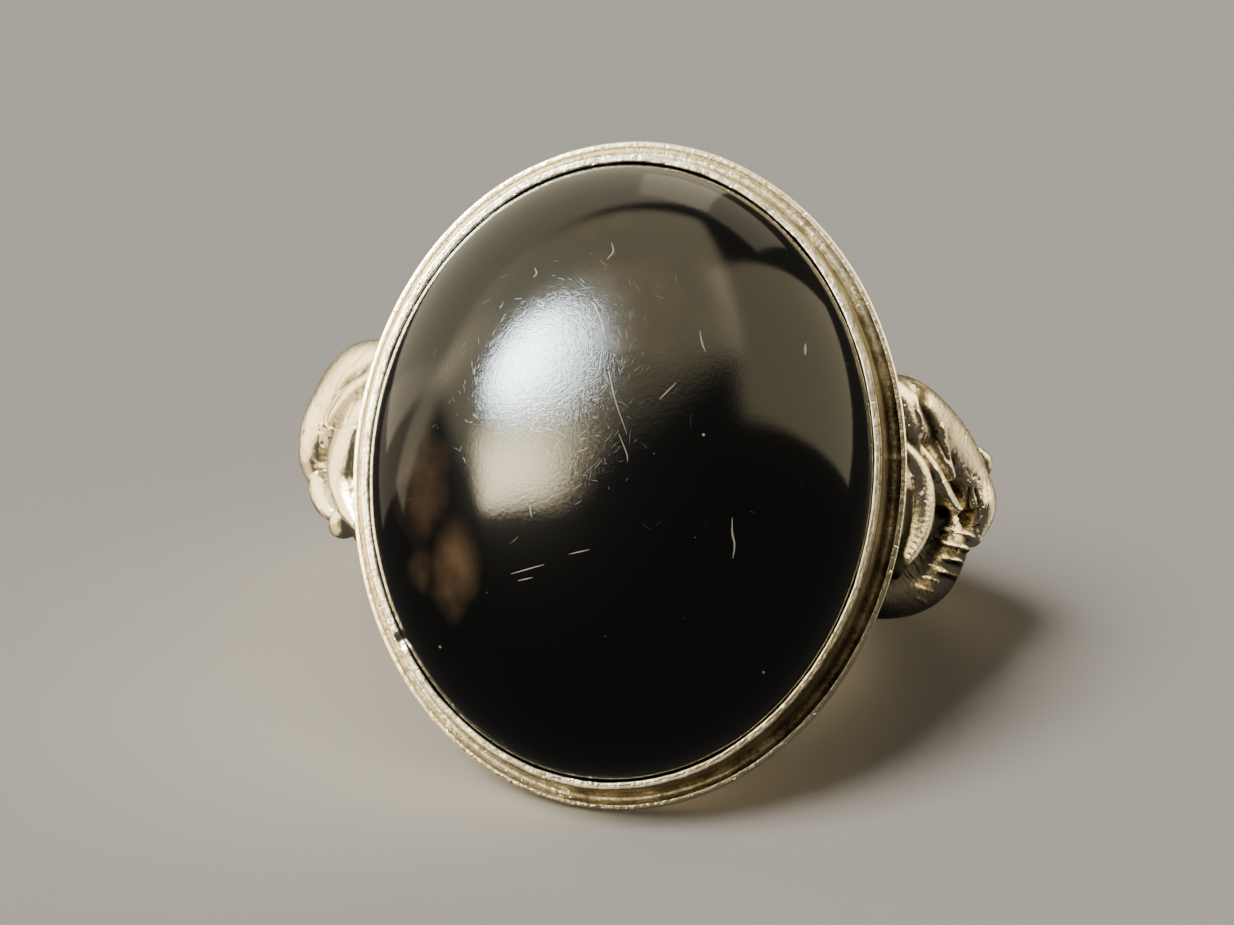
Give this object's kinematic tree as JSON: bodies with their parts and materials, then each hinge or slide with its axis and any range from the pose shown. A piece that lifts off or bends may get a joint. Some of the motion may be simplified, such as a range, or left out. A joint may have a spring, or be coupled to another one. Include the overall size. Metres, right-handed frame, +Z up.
{
  "type": "onyx ring",
  "caption": "Finger ring with an oval black cabochon in a stepped silver bezel and raised leaf work on its shoulders, lying on its side.",
  "frame": {"origin": "on the floor under the middle of the bounds", "axes": "+Z up; +X across the stone's width, to the right as one looks at its face; the face looks towards -Y and 24.8 degrees up; the finger hole runs upward and 24.8 degrees towards +Y"},
  "size_m": [0.0284, 0.0292, 0.0222],
  "materials": {
    "onyx": "polished",
    "silver": "worn polish, dark tarnish in the recesses"
  },
  "bodies": {
    "root": {"onyx_cabochon": "onyx", "silver_mount": "silver"}
  },
  "joints": []
}
